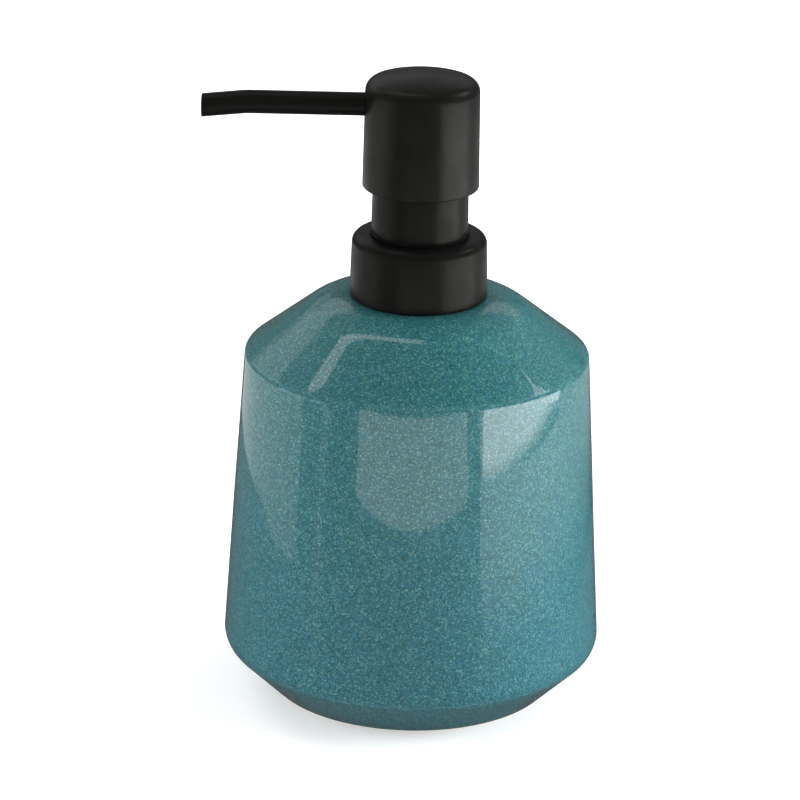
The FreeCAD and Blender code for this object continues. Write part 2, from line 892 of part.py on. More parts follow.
def add_spout_socket(body):
    """Adds the socket that the spout is pressed into and bores it through to the valve's chamber."""
    start = "(core_boss_radius - core_socket_root)"
    socket = new_sketch(body, "socket_section", "YZ_Plane", f"-{start}")
    circle(socket, "0", "spout_height", "core_socket_radius")
    reach = f"{CORE_RIM} - core_socket_setback - {start}"
    extrude(body, PAD, socket, "spout_socket", reach, both_ways=False, reverse=True)
    bore = new_sketch(body, "socket_bore_section", "YZ_Plane", f"-{SPOUT_ROOT}")
    circle(bore, "0", "spout_height", "spout_radius + fit_gap")
    extrude(body, POCKET, bore, "socket_bore", both_ways=False)
    duct = new_sketch(body, "duct_section", "YZ_Plane", "-core_stop_radius - core_duct_gap")
    circle(duct, "0", "spout_height", "spout_bore")
    extrude(body, POCKET, duct, "duct", both_ways=False)


# ---- The spout ----


def spout_path(body):
    """The spout's centre line: level, then a tangent bend, then a slight droop past the tip."""
    path = new_sketch(body, "spout_path")
    root = size("head_bore_radius") - size("fit_gap") - size("core_socket_depth")
    height, radius = size("spout_height"), size("spout_bend_radius")
    droop = math.radians(size("spout_droop_angle"))
    bend = Vector(-size("spout_bend_reach"), height, 0)
    centre = bend - Vector(0, radius, 0)
    after = centre + Vector(-math.sin(droop), math.cos(droop), 0) * radius
    beyond = -size("spout_reach") - size("spout_trim")
    end = Vector(beyond, after.y + (beyond - after.x) * math.tan(droop), 0)
    ring = Part.Circle(centre, Vector(0, 0, 1), radius)
    level = path.addGeometry(Part.LineSegment(Vector(-root, height, 0), bend))
    curve = path.addGeometry(Part.ArcOfCircle(ring, math.pi / 2, math.pi / 2 + droop))
    drooped = path.addGeometry(Part.LineSegment(after, end))
    path.addConstraint(Sketcher.Constraint("Horizontal", level))
    path.addConstraint(Sketcher.Constraint("Tangent", level, END, curve, START))
    path.addConstraint(Sketcher.Constraint("Tangent", curve, END, drooped, START))
    hold(path, "DistanceX", (level, START, *ROOT), SPOUT_ROOT)
    hold(path, "DistanceY", (*ROOT, level, START), "spout_height")
    hold(path, "DistanceX", (level, END, *ROOT), "spout_bend_reach")
    hold(path, "DistanceX", (drooped, END, *ROOT), "spout_reach + spout_trim")
    hold(path, "Radius", (curve,), "spout_bend_radius")
    tilt = path.addConstraint(Sketcher.Constraint("Angle", level, drooped, droop))
    path.setExpression(f"Constraints[{tilt}]", f"{bound('spout_droop_angle')} * 1 deg")
    doc.recompute()
    return path


def make_spout_tube():
    """The spout: a straight tube with a slight droop near its end, cut off upright."""
    body = new_body("spout_tube")
    path = spout_path(body)
    for kind, name, radius in (
        ("PartDesign::AdditivePipe", "spout_outside", "spout_radius"),
        ("PartDesign::SubtractivePipe", "spout_inside", "spout_bore"),
    ):
        section = new_sketch(body, f"{name}_section", "YZ_Plane", f"-{SPOUT_ROOT}")
        circle(section, "0", "spout_height", radius)
        before = volume(body)
        pipe = body.newObject(kind, name)
        pipe.Profile = section
        pipe.Spine = path
        section.Visibility = False
        recompute_checked(body, name, before, adds="Additive" in kind)
    path.Visibility = False
    trim = new_sketch(body, "tip_trim_section", "YZ_Plane", "-spout_reach")
    circle(trim, "0", "spout_height", "2 * spout_radius")
    extrude(body, POCKET, trim, "tip_trim", both_ways=False)
    at_tip = [
        (edge.Length, f"Edge{number}")
        for number, edge in enumerate(body.Shape.Edges, 1)
        if abs(edge.BoundBox.XMax + size("spout_reach")) < MATCH
    ]
    fillet(body, "tip_rounding", [max(at_tip)[1]], "spout_tip_round")


def export():
    """Checks every object of the document and writes each piece to its STEP file."""
    doc.recompute()
    for item in doc.Objects:
        if set(item.State) & {"Invalid", "Error"}:
            raise RuntimeError(f"{item.Label} failed to recompute: {item.State}")
    for piece in pieces:
        if piece.Shape.isNull() or not piece.Shape.isValid() or len(piece.Shape.Solids) != 1:
            raise RuntimeError(f"{piece.Label} isn't one valid solid")
    os.makedirs(PARTS_FOLDER, exist_ok=True)
    for piece in pieces:
        piece.Shape.exportStep(os.path.join(PARTS_FOLDER, f"{piece.Label}.step"))
        box = piece.Shape.BoundBox
        print(f"{piece.Label:16s} {piece.Shape.Volume:9.1f} mm3, z {box.ZMin:.2f} to {box.ZMax:.2f}")


def main():
    """Makes the pieces from the bottle up, then writes them."""
    make_bottle()
    make_neck_insert()
    make_neck_rings()
    make_collar_shell()
    make_screw_closure()
    make_guide_sleeve()
    make_pump_barrel()
    make_cylinder_cap()
    make_dip_tube()
    make_ball_cage()
    make_return_spring()
    make_ball("inlet_ball", "seat_height")
    make_piston_seal()
    make_stem()
    make_piston_retainer()
    make_ball("outlet_ball", "stem_top")
    make_head_shell()
    make_head_core()
    make_spout_tube()
    export()


main()
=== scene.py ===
"""Soap pump dispenser: glazed bottle, screw collar and lotion pump, dressed round the fixed frame."""

import json
import logging
import math
from dataclasses import dataclass
from enum import Enum
from typing import Any, Callable, Optional, Protocol, Sequence, Union

import bpy
from mathutils import Matrix, Vector


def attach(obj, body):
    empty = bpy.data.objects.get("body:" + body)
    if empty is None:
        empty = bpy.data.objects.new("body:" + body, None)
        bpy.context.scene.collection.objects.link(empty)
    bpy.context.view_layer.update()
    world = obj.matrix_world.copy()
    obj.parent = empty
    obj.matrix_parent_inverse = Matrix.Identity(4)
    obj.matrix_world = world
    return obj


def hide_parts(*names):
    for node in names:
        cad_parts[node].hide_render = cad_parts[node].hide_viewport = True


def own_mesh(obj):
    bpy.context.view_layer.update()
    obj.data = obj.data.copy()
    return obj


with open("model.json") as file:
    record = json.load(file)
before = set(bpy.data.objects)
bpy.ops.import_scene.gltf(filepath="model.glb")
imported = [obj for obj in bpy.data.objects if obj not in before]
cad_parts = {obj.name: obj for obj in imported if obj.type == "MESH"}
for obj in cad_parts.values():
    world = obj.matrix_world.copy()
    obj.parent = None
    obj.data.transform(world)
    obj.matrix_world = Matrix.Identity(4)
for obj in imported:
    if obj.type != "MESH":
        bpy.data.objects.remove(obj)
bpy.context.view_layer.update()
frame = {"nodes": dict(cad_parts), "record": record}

LOG = logging.getLogger("soap_dispenser")

# A millimetre in metres; TINY tells lengths in metres apart, NEAR lengths in millimetres.
MM = 0.001
TINY = 1e-6
NEAR = 0.01

# Smooth noise seldom leaves this range.
NOISE_LOW = 0.3
NOISE_HIGH = 0.7

Colour = tuple[float, float, float]


class Body(Enum):
    """The moving bodies that the new pieces ride on."""

    BOTTLE = "bottle"
    PUMP = "pump_unit"
    COLLAR = "collar"
    HEAD = "head"


class Slot(Enum):
    """The record's material slots."""

    GLAZE = "teal_glaze"
    BLACK = "black_plastic"
    SPOUT = "black_spout"
    NATURAL = "natural_plastic"
    WHITE = "white_plastic"
    TUBE = "clear_tube"
    SEAL = "soft_seal"
    ADHESIVE = "adhesive"
    SPRING = "spring_steel"
    BALL = "ball_steel"


# --------------------------------------------------------------------------- shader nodes


class Port:
    """A node's output socket, so that shader maths can be written as expressions."""

    def __init__(self, nodes: "NodeBench", socket: bpy.types.NodeSocket) -> None:
        """Keeps the socket and the tree that it is in.

        Args:
            nodes: the tree's bench, which adds further nodes.
            socket: the output socket.
        """
        self.nodes = nodes
        self.socket = socket

    def _maths(self, operation: str, first: Any, second: Any) -> "Port":
        """Adds one Math node and returns its result."""
        return self.nodes.add("ShaderNodeMath", {"operation": operation}, {0: first, 1: second})

    def __add__(self, other: Any) -> "Port":
        """Returns this value plus the other."""
        return self._maths("ADD", self, other)

    def __sub__(self, other: Any) -> "Port":
        """Returns this value less the other."""
        return self._maths("SUBTRACT", self, other)

    def __rsub__(self, other: Any) -> "Port":
        """Returns the other less this value."""
        return self._maths("SUBTRACT", other, self)

    def __mul__(self, other: Any) -> "Port":
        """Returns this value times the other."""
        return self._maths("MULTIPLY", self, other)


class NodeBench:
    """A new material's node tree, filled one node at a time."""

    def __init__(self, name: str) -> None:
        """Starts an empty material.

        Args:
            name: the material's name.
        """
        self.material = bpy.data.materials.new(name)
        self.material.use_nodes = True
        self.tree = self.material.node_tree
        self.tree.nodes.clear()

    def add(
        self,
        kind: str,
        settings: Optional[dict[str, Any]] = None,
        sockets: Optional[dict[Union[int, str], Any]] = None,
        output: Union[int, str] = 0,
    ) -> Port:
        """Adds a node.

        Args:
            kind: the node's type.
            settings: its settings, with a ramp's stops under "stops" as (place, colour) pairs.
            sockets: the value or the linked port of each input, by name or index.
            output: the name or index of the output that is wanted.

        Returns:
            The port of that output.
        """
        node = self.tree.nodes.new(kind)
        for key, value in (settings or {}).items():
            if key == "stops":
                self._set_stops(node.color_ramp, value)
            else:
                setattr(node, key, value)
        for key, value in (sockets or {}).items():
            if isinstance(value, Port):
                self.tree.links.new(value.socket, node.inputs[key])
            else:
                node.inputs[key].default_value = value
        return Port(self, node.outputs[output])

    @staticmethod
    def _set_stops(ramp: bpy.types.ColorRamp, stops: Sequence[tuple[float, Any]]) -> None:
        """Gives a ramp its stops.

        Args:
            ramp: the ramp.
            stops: each stop's place and its grey level or colour.
        """
        while len(ramp.elements) < len(stops):
            ramp.elements.new(1.0)
        for element, (place, value) in zip(ramp.elements, stops):
            element.position = place
            colour = (value, value, value) if isinstance(value, (int, float)) else value
            element.color = (*colour, 1.0)

    def place(self) -> Port:
        """Returns the object coordinates."""
        return self.add("ShaderNodeTexCoord", output="Object")

    def part(self, vector: Port, axis: str) -> Port:
        """Returns a vector's part along X, Y or Z."""
        return self.add("ShaderNodeSeparateXYZ", sockets={0: vector}, output=axis)

    def height(self) -> Port:
        """Returns the height above the ground, in metres."""
        return self.part(self.place(), "Z")

    def noise(self, size: float, detail: float = 2.0, roughness: float = 0.5) -> Port:
        """Adds noise whose grains are about the given size.

        Args:
            size: the grain's size in metres.
            detail: how many finer octaves it has.
            roughness: how strong the finer octaves are.

        Returns:
            The noise, from 0 to 1 round 0.5.
        """
        sockets = {"Vector": self.place(), "Scale": 1.0 / size, "Detail": detail, "Roughness": roughness}
        return self.add("ShaderNodeTexNoise", sockets=sockets, output="Fac")

    def ramp(self, value: Any, *stops: tuple[float, Any]) -> Port:
        """Maps a value through a ramp of (place, colour or grey) stops."""
        return self.add("ShaderNodeValToRGB", {"stops": stops}, {"Fac": value})

    def band(self, value: Any, low: float, high: float, start: float = 0.0, end: float = 1.0) -> Port:
        """Maps a value's range onto another, softly at its ends and held level outside it.

        Args:
            value: the value.
            low: where its range begins.
            high: where its range ends.
            start: the result at low.
            end: the result at high.

        Returns:
            The mapped value.
        """
        settings = {"clamp": True, "interpolation_type": "SMOOTHSTEP"}
        sockets = {"Value": value, "From Min": low, "From Max": high, "To Min": start, "To Max": end}
        return self.add("ShaderNodeMapRange", settings, sockets)

    def around(self, noise: Port, middle: float, spread: float) -> Port:
        """Maps noise onto a middle value, give or take a spread."""
        return self.band(noise, NOISE_LOW, NOISE_HIGH, middle - spread, middle + spread)

    def blend(self, share: Any, first: Any, second: Any) -> Port:
        """Mixes two colours.

        Args:
            share: how much of the second colour shows.
            first: the first colour or port.
            second: the second colour or port.

        Returns:
            The mixed colour.
        """
        sockets = {
            0: share,
            6: first if isinstance(first, Port) else (*first, 1.0),
            7: second if isinstance(second, Port) else (*second, 1.0),
        }
        return self.add("ShaderNodeMix", {"data_type": "RGBA", "clamp_factor": True}, sockets, 2)

    def bump(self, height: Port, depth: float, strength: float = 1.0) -> Port:
        """Turns a height pattern of the given depth in metres into a normal."""
        sockets = {"Height": height, "Distance": depth, "Strength": strength}
        return self.add("ShaderNodeBump", sockets=sockets)

    def finish(self, **sockets: Any) -> bpy.types.Material:
        """Adds the surface shader and the output.

        Args:
            **sockets: the shader's values and ports, with an underscore for a space.

        Returns:
            The finished material.
        """
        named = {key.replace("_", " "): value for key, value in sockets.items()}
        shader = self.add("ShaderNodeBsdfPrincipled", sockets=named)
        self.add_output(shader)
        return self.material

    def add_output(self, shader: Port) -> None:
        """Links a shader to a new material output."""
        node = self.tree.nodes.new("ShaderNodeOutputMaterial")
        self.tree.links.new(shader.socket, node.inputs["Surface"])


# --------------------------------------------------------------------------- finishes


class Finish(Protocol):
    """What every finish can do."""

    def material(self) -> bpy.types.Material:
        """Makes the finish's material."""


@dataclass(frozen=True)
class GlazeFinish:
    """Reactive teal glaze: mottled colour full of fine flecks under a glassy top coat.

    It thins over sharp edges, and the foot that stood in the kiln is bare clay. A kind of fleck has a
    colour, a size beside fleck_size, and the share of places that it may cover.
    """

    green_teal: Colour = (0.0145, 0.108, 0.109)
    blue_teal: Colour = (0.018, 0.107, 0.134)
    thin_glaze: Colour = (0.110, 0.260, 0.270)
    clay: Colour = (0.500, 0.420, 0.330)
    flecks: tuple[tuple[Colour, float, float], ...] = (
        ((0.009, 0.062, 0.068), 1.4, 0.40),
        ((0.032, 0.165, 0.240), 1.1, 0.42),
        ((0.135, 0.295, 0.265), 0.9, 0.26),
    )
    fleck_size: float = 0.32 * MM
    fleck_strength: float = 0.8
    mottle_size: float = 9.0 * MM
    bluest_height: float = 10.0 * MM
    greenest_height: float = 90.0 * MM
    blue_shift: float = 0.25
    bare_height: float = 0.45 * MM
    edge_heights: tuple[float, ...] = (82.1 * MM, 10.6 * MM)
    edge_width: float = 0.55 * MM
    clay_grain: float = 0.5 * MM
    clay_shade: float = 0.8
    ripple_size: float = 0.35 * MM
    ripple_depth: float = 0.02 * MM
    glaze_roughness: float = 0.42
    clay_roughness: float = 0.90
    coat_roughness: float = 0.035

    def material(self) -> bpy.types.Material:
        """Makes the glaze.

        Returns:
            The finished material.
        """
        nodes = NodeBench("reactive_teal_glaze")
        height = nodes.height()
        clay_share = nodes.band(height, self.bare_height * 0.6, self.bare_height, 1.0, 0.0)
        colour = self._flecked(nodes, self._mottled(nodes, height))
        for place in self.edge_heights:
            colour = nodes.blend(self._edge_line(nodes, height, place), colour, self.thin_glaze)
        dark_clay = tuple(self.clay_shade * part for part in self.clay)
        clay = nodes.ramp(nodes.noise(self.clay_grain, 3.0), (NOISE_LOW, dark_clay), (NOISE_HIGH, self.clay))
        roughness = nodes.blend(clay_share, (self.glaze_roughness,) * 3, (self.clay_roughness,) * 3)
        return nodes.finish(
            Base_Color=nodes.blend(clay_share, colour, clay),
            Roughness=roughness,
            Normal=nodes.bump(nodes.noise(self.ripple_size, 2.0), self.ripple_depth, 0.5),
            Coat_Weight=1.0 - clay_share,
            Coat_Roughness=self.coat_roughness,
            Coat_IOR=1.5,
            Specular_IOR_Level=0.3,
        )

    def _mottled(self, nodes: NodeBench, height: Port) -> Port:
        """Makes the cloudy ground colour, which turns bluer down the wall.

        Args:
            nodes: the material's bench.
            height: the height above the ground.

        Returns:
            The ground colour.
        """
        cloud = nodes.noise(self.mottle_size, 4.0, 0.6)
        shift = self.blue_shift
        down = nodes.band(height, self.bluest_height, self.greenest_height, shift, -shift)
        return nodes.ramp(cloud + down, (0.25, self.green_teal), (0.75, self.blue_teal))

    def _flecked(self, nodes: NodeBench, ground: Port) -> Port:
        """Strews the flecks over the ground colour, each in a cell of its own.

        Args:
            nodes: the material's bench.
            ground: the ground colour.

        Returns:
            The flecked colour.
        """
        colour = ground
        for fleck, size, share in self.flecks:
            grid = {"Vector": nodes.place(), "Scale": 1.0 / (self.fleck_size * size)}
            cells = nodes.add("ShaderNodeTexVoronoi", {"feature": "F1"}, grid, "Color")
            chance = nodes.part(cells, "X")
            strength = nodes.part(cells, "Y")
            shown = nodes.add("ShaderNodeMath", {"operation": "LESS_THAN"}, {0: chance, 1: share})
            colour = nodes.blend(shown * strength * self.fleck_strength, colour, fleck)
        return colour

    def _edge_line(self, nodes: NodeBench, height: Port, place: float) -> Port:
        """Makes the mask of the thin, broken line where the glaze runs off an edge.

        Args:
            nodes: the material's bench.
            height: the height above the ground.
            place: the edge's height.

        Returns:
            The mask, from 0 to at most 0.3.
        """
        offset = nodes.add("ShaderNodeMath", {"operation": "ABSOLUTE"}, {0: height - place})
        ragged = nodes.band(nodes.noise(0.8 * MM, 3.0), 0.35, 0.65, 0.05, 0.3)
        return nodes.band(offset, 0.0, self.edge_width, 1.0, 0.0) * ragged


@dataclass(frozen=True)
class SatinFinish:
    """Moulded black plastic with a fine satin grain and faint handling marks."""

    name: str = "satin_black"
    dark: Colour = (0.0035, 0.0035, 0.0035)
    light: Colour = (0.0060, 0.0059, 0.0056)
    roughness: float = 0.34
    roughness_spread: float = 0.04
    mark_size: float = 6.0 * MM
    mark_share: float = 0.6
    grain_size: float = 0.28 * MM
    grain_depth: float = 0.006 * MM
    sheen: float = 0.40
    sheen_tint: Colour = (1.0, 0.97, 0.87)

    def material(self) -> bpy.types.Material:
        """Makes the satin plastic.

        Returns:
            The finished material.
        """
        nodes = NodeBench(self.name)
        marks = nodes.noise(self.mark_size, 4.0, 0.6)
        grain = nodes.noise(self.grain_size, 2.0, 0.6)
        mixed = marks * self.mark_share + grain * (1.0 - self.mark_share)
        return nodes.finish(
            Base_Color=nodes.ramp(mixed, (NOISE_LOW, self.dark), (NOISE_HIGH, self.light)),
            Roughness=nodes.around(marks, self.roughness, self.roughness_spread),
            Normal=nodes.bump(grain, self.grain_depth),
            IOR=1.5,
            Specular_IOR_Level=self.sheen,
            Specular_Tint=(*self.sheen_tint, 1.0),
        )


@dataclass(frozen=True)
class PlasticFinish:
    """Unpainted moulded plastic: slightly cloudy, with a soft sheen."""

    name: str
    pale: Colour
    deep: Colour
    roughness: float = 0.38
    alpha: float = 1.0
    roughness_spread: float = 0.06
    cloud_size: float = 5.0 * MM
    grain_size: float = 0.4 * MM
    grain_depth: float = 0.004 * MM

    def material(self) -> bpy.types.Material:
        """Makes the plastic.

        Returns:
            The finished material.
        """
        nodes = NodeBench(self.name)
        cloud = nodes.noise(self.cloud_size, 4.0, 0.55)
        grain = nodes.noise(self.grain_size, 2.0)
        return nodes.finish(
            Base_Color=nodes.ramp(cloud, (0.35, self.deep), (0.65, self.pale)),
            Roughness=nodes.around(grain, self.roughness, self.roughness_spread),
            Normal=nodes.bump(grain, self.grain_depth),
            Alpha=self.alpha,
            IOR=1.49,
        )


@dataclass(frozen=True)
class SteelFinish:
    """Stainless steel, drawn or polished."""

    name: str
    colour: Colour = (0.56, 0.56, 0.57)
    roughness: float = 0.22
    streak_size: float = 0.15 * MM
    streak_shade: float = 0.82
    roughness_share: float = 0.3

    def material(self) -> bpy.types.Material:
        """Makes the steel.

        Returns:
            The finished material.
        """
        nodes = NodeBench(self.name)
        streaks = nodes.noise(self.streak_size, 3.0, 0.6)
        duller = tuple(self.streak_shade * part for part in self.colour)
        return nodes.finish(
            Base_Color=nodes.ramp(streaks, (NOISE_LOW, duller), (NOISE_HIGH, self.colour)),
            Roughness=nodes.around(streaks, self.roughness, self.roughness * self.roughness_share),
            Metallic=1.0,
        )


@dataclass(frozen=True)
class PaperFinish:
    """Matt white studio sweep, whose floor glows a little round the object and fades to its wall."""

    name: str = "studio_paper"
    colour: Colour = (0.90, 0.90, 0.90)
    glow: float = 0.28
    glow_reach: float = 0.85
    glow_end: float = 1.25
    wall_share: float = 0.2
    cloud_size: float = 0.25
    cloud_shade: float = 0.985

    def material(self) -> bpy.types.Material:
        """Makes the paper.

        Returns:
            The finished material.
        """
        nodes = NodeBench(self.name)
        cloud = nodes.noise(self.cloud_size, 2.0)
        darker = tuple(self.cloud_shade * part for part in self.colour)
        reach = nodes.add("ShaderNodeVectorMath", {"operation": "LENGTH"}, {0: nodes.place()}, "Value")
        return nodes.finish(
            Base_Color=nodes.ramp(cloud, (NOISE_LOW, darker), (NOISE_HIGH, self.colour)),
            Roughness=0.9,
            Emission_Color=nodes.band(reach, self.glow_reach, self.glow_end, 1.0, self.wall_share),
            Emission_Strength=self.glow,
        )


@dataclass(frozen=True)
class GlowFinish:
    """The lit face of a reflector card, which fades to its rear and its foot.

    Its strengths, front and rear, are reached at its depths; the foot and its fade are heights, in metres.
    """

    name: str
    front: float
    rear: float
    front_depth: float = -0.2
    rear_depth: float = 0.4
    foot: float = -10.0
    foot_fade: float = 1.0

    def material(self) -> bpy.types.Material:
        """Makes the glow.

        Returns:
            The finished material.
        """
        nodes = NodeBench(self.name)
        depth = nodes.part(nodes.place(), "Y")
        along = nodes.band(depth, self.front_depth, self.rear_depth, self.front, self.rear)
        up = nodes.band(nodes.height(), self.foot, self.foot + self.foot_fade)
        glow = nodes.add("ShaderNodeEmission", sockets={"Strength": along * up})
        nodes.add_output(glow)
        nodes.material.cycles.emission_sampling = "NONE"
        return nodes.material


FINISHES: dict[Slot, Finish] = {
    Slot.GLAZE: GlazeFinish(),
    Slot.BLACK: SatinFinish(),
    Slot.SPOUT: SatinFinish("satin_black_spout", roughness=0.38, grain_size=0.2 * MM, sheen=0.22),
    Slot.NATURAL: PlasticFinish("natural_polypropylene", (0.80, 0.81, 0.78), (0.72, 0.73, 0.70), 0.32),
    Slot.WHITE: PlasticFinish("white_moulding", (0.83, 0.83, 0.82), (0.77, 0.77, 0.76)),
    Slot.TUBE: PlasticFinish("milky_tube", (0.82, 0.84, 0.83), (0.76, 0.79, 0.78), 0.25, 0.6),
    Slot.SEAL: PlasticFinish("soft_seal_rubber", (0.74, 0.74, 0.70), (0.66, 0.66, 0.62), 0.6),
    Slot.ADHESIVE: PlasticFinish("cured_adhesive", (0.72, 0.70, 0.62), (0.60, 0.58, 0.50), 0.45),
    Slot.SPRING: SteelFinish("drawn_spring_wire"),
    Slot.BALL: SteelFinish("polished_ball", roughness=0.08, streak_size=0.4 * MM),
}
DULL_BLACK = SatinFinish("satin_black_collar", sheen=0.23)


class Palette:
    """Makes each finish once and hands it out."""

    def __init__(self) -> None:
        """Starts with no material made."""
        self._made: dict[Finish, bpy.types.Material] = {}

    def material(self, finish: Finish) -> bpy.types.Material:
        """Hands out a finish's material, made on first use.

        Args:
            finish: the finish.

        Returns:
            Its material.
        """
        if finish not in self._made:
            self._made[finish] = finish.material()
        return self._made[finish]

    def paint(self, piece: bpy.types.Object, finish: Finish) -> None:
        """Gives a whole piece its finish."""
        piece.data.materials.clear()
        piece.data.materials.append(self.material(finish))


# --------------------------------------------------------------------------- modelling


@dataclass(frozen=True)
class Corner:
    """A corner of a turned outline, in millimetres: distance from the axis, height and rounding."""

    radius: float
    height: float
    rounding: float = 0.0

    def place(self) -> Vector:
        """Returns its place in metres, in the plane of the spin."""
        return Vector((self.radius * MM, 0.0, self.height * MM))


def open_mesh(name: str, add: Callable[..., Any], **settings: Any) -> bpy.types.Object:
    """Adds a primitive with nothing else selected and opens it in edit mode.

    Args:
        name: the new piece's name.
        add: the operator that adds the primitive.
        **settings: the operator's settings, such as its size and place.

    Returns:
        The new piece, in edit mode and selected all over.
    """
    bpy.ops.object.select_all(action="DESELECT")
    add(**settings)
    piece = bpy.context.object
    bpy.ops.object.transform_apply(location=True, rotation=True, scale=True)
    piece.name = name
    piece.data.name = name
    bpy.context.tool_settings.mesh_select_mode = (True, False, False)
    bpy.ops.object.mode_set(mode="EDIT")
    bpy.ops.mesh.select_all(action="SELECT")
    return piece


def open_point(name: str, place: Vector) -> bpy.types.Object:
    """Starts a piece from a single vertex.

    Args:
        name: the new piece's name.
        place: the vertex's place, in metres.

    Returns:
        The new piece, in edit mode with its vertex selected.
    """
    piece = open_mesh(name, bpy.ops.mesh.primitive_plane_add, size=MM)
    bpy.ops.mesh.merge(type="CENTER")
    bpy.ops.transform.translate(value=place)
    return piece


def pick(piece: bpy.types.Object, test: Callable[[Vector], bool]) -> None:
    """Selects, in edit mode, the vertices whose place passes a test.

    Args:
        piece: the piece, which is the active object.
        test: says of a place, in metres, whether its vertex is wanted.
    """
    bpy.ops.object.mode_set(mode="OBJECT")
    mesh = piece.data
    mesh.polygons.foreach_set("select", [False] * len(mesh.polygons))
    mesh.edges.foreach_set("select", [False] * len(mesh.edges))
    mesh.vertices.foreach_set("select", [test(vertex.co) for vertex in mesh.vertices])
    bpy.context.tool_settings.mesh_select_mode = (True, False, False)
    bpy.ops.object.mode_set(mode="EDIT")


def close_mesh(sharp_degrees: float = 35.0) -> None:
    """Turns the edited piece's faces outwards, leaves edit mode and smooths all but sharp edges.

    Args:
        sharp_degrees: the angle between faces from which an edge stays sharp.
    """
    bpy.ops.mesh.select_all(action="SELECT")
    bpy.ops.mesh.remove_doubles(threshold=TINY)
    bpy.ops.mesh.normals_make_consistent(inside=False)
    bpy.ops.object.mode_set(mode="OBJECT")
    bpy.ops.object.shade_smooth_by_angle(angle=math.radians(sharp_degrees))


def apply_modifier(piece: bpy.types.Object, kind: str, **settings: Any) -> None:
    """Adds a modifier to a piece and applies it.

    Args:
        piece: the piece, out of edit mode.
        kind: the modifier's type.
        **settings: the modifier's settings.
    """
    bpy.ops.object.select_all(action="DESELECT")
    piece.select_set(True)
    bpy.context.view_layer.objects.active = piece
    bpy.ops.object.modifier_add(type=kind)
    modifier = piece.modifiers[-1]
    for key, value in settings.items():
        setattr(modifier, key, value)
    bpy.ops.object.modifier_apply(modifier=modifier.name)


class Lathe:
    """Turns an outline round the upright axis."""

    def __init__(self, steps: int = 192, arc_step: float = 9.0, longest: float = 4.0) -> None:
        """Keeps how finely it turns.

        Args:
            steps: steps in the full turn.
            arc_step: degrees of a rounded corner for each of its segments.
            longest: the longest run left undivided, in millimetres.
        """
        self.steps = steps
        self.arc_step = math.radians(arc_step)
        self.longest = longest * MM

    def turn(self, name: str, corners: Sequence[Corner], closed: bool) -> bpy.types.Object:
        """Makes a turned piece.

        Args:
            name: the piece's name.
            corners: its outline, from corner to corner.
            closed: whether the outline comes back to its first corner. If not, both ends lie on
                the axis.

        Returns:
            The piece, out of edit mode.
        """
        piece = open_point(name, corners[0].place())
        route = [corner.place() for corner in corners]
        if closed:
            route.append(route[0])
        for start, end in zip(route, route[1:]):
            bpy.ops.mesh.extrude_vertices_move(TRANSFORM_OT_translate={"value": end - start})
        bpy.ops.mesh.select_all(action="SELECT")
        bpy.ops.mesh.remove_doubles(threshold=TINY)
        self._round_corners(piece, corners, closed)
        self._divide_runs(piece)
        bpy.ops.mesh.select_all(action="SELECT")
        bpy.ops.mesh.spin(steps=self.steps, angle=math.tau, center=(0, 0, 0), axis=(0, 0, 1))
        close_mesh()
        return piece

    def _round_corners(self, piece: bpy.types.Object, corners: Sequence[Corner], closed: bool) -> None:
        """Rounds each corner of the outline that has a rounding.

        Args:
            piece: the outline, in edit mode.
            corners: its corners.
            closed: whether it comes back to its first corner.
        """
        count = len(corners)
        for index, corner in enumerate(corners):
            if not corner.rounding or (not closed and index in (0, count - 1)):
                continue
            here = corner.place()
            before = here - corners[index - 1].place()
            after = corners[(index + 1) % count].place() - here
            turned = before.angle(after)
            pick(piece, lambda place, here=here: (place - here).length < TINY)
            bpy.ops.mesh.bevel(
                affect="VERTICES",
                offset=corner.rounding * MM * math.tan(turned / 2),
                segments=max(2, math.ceil(turned / self.arc_step)),
                profile=0.5,
            )

    def _divide_runs(self, piece: bpy.types.Object) -> None:
        """Halves the outline's long runs until none is longer than the lathe allows.

        Args:
            piece: the outline, in edit mode.
        """
        while True:
            bpy.ops.object.mode_set(mode="OBJECT")
            mesh = piece.data
            places = [vertex.co for vertex in mesh.vertices]
            ends = [[places[index] for index in edge.vertices] for edge in mesh.edges]
            long = [(start - end).length > self.longest for start, end in ends]
            mesh.vertices.foreach_set("select", [False] * len(mesh.vertices))
            mesh.edges.foreach_set("select", long)
            bpy.context.tool_settings.mesh_select_mode = (False, True, False)
            bpy.ops.object.mode_set(mode="EDIT")
            if not any(long):
                return
            bpy.ops.mesh.subdivide(number_cuts=1)


def install(
    piece: bpy.types.Object,
    body: Body,
    slot: Slot,
    palette: Palette,
    node: str,
    finish: Optional[Finish] = None,
) -> None:
    """Paints a finished piece, fixes it to its body and lets it stand for its CAD node.

    Args:
        piece: the finished piece.
        body: the body that it rides on.
        slot: the material slot of its finish.
        palette: where the material comes from.
        node: the CAD node that it stands for.
        finish: its finish, if it isn't its slot's usual one.
    """
    palette.paint(piece, finish or FINISHES[slot])
    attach(piece, body.value)
    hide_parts(node)
    LOG.info("%s: %d faces, rides on %s", piece.name, len(piece.data.polygons), body.value)


# --------------------------------------------------------------------------- the bottle


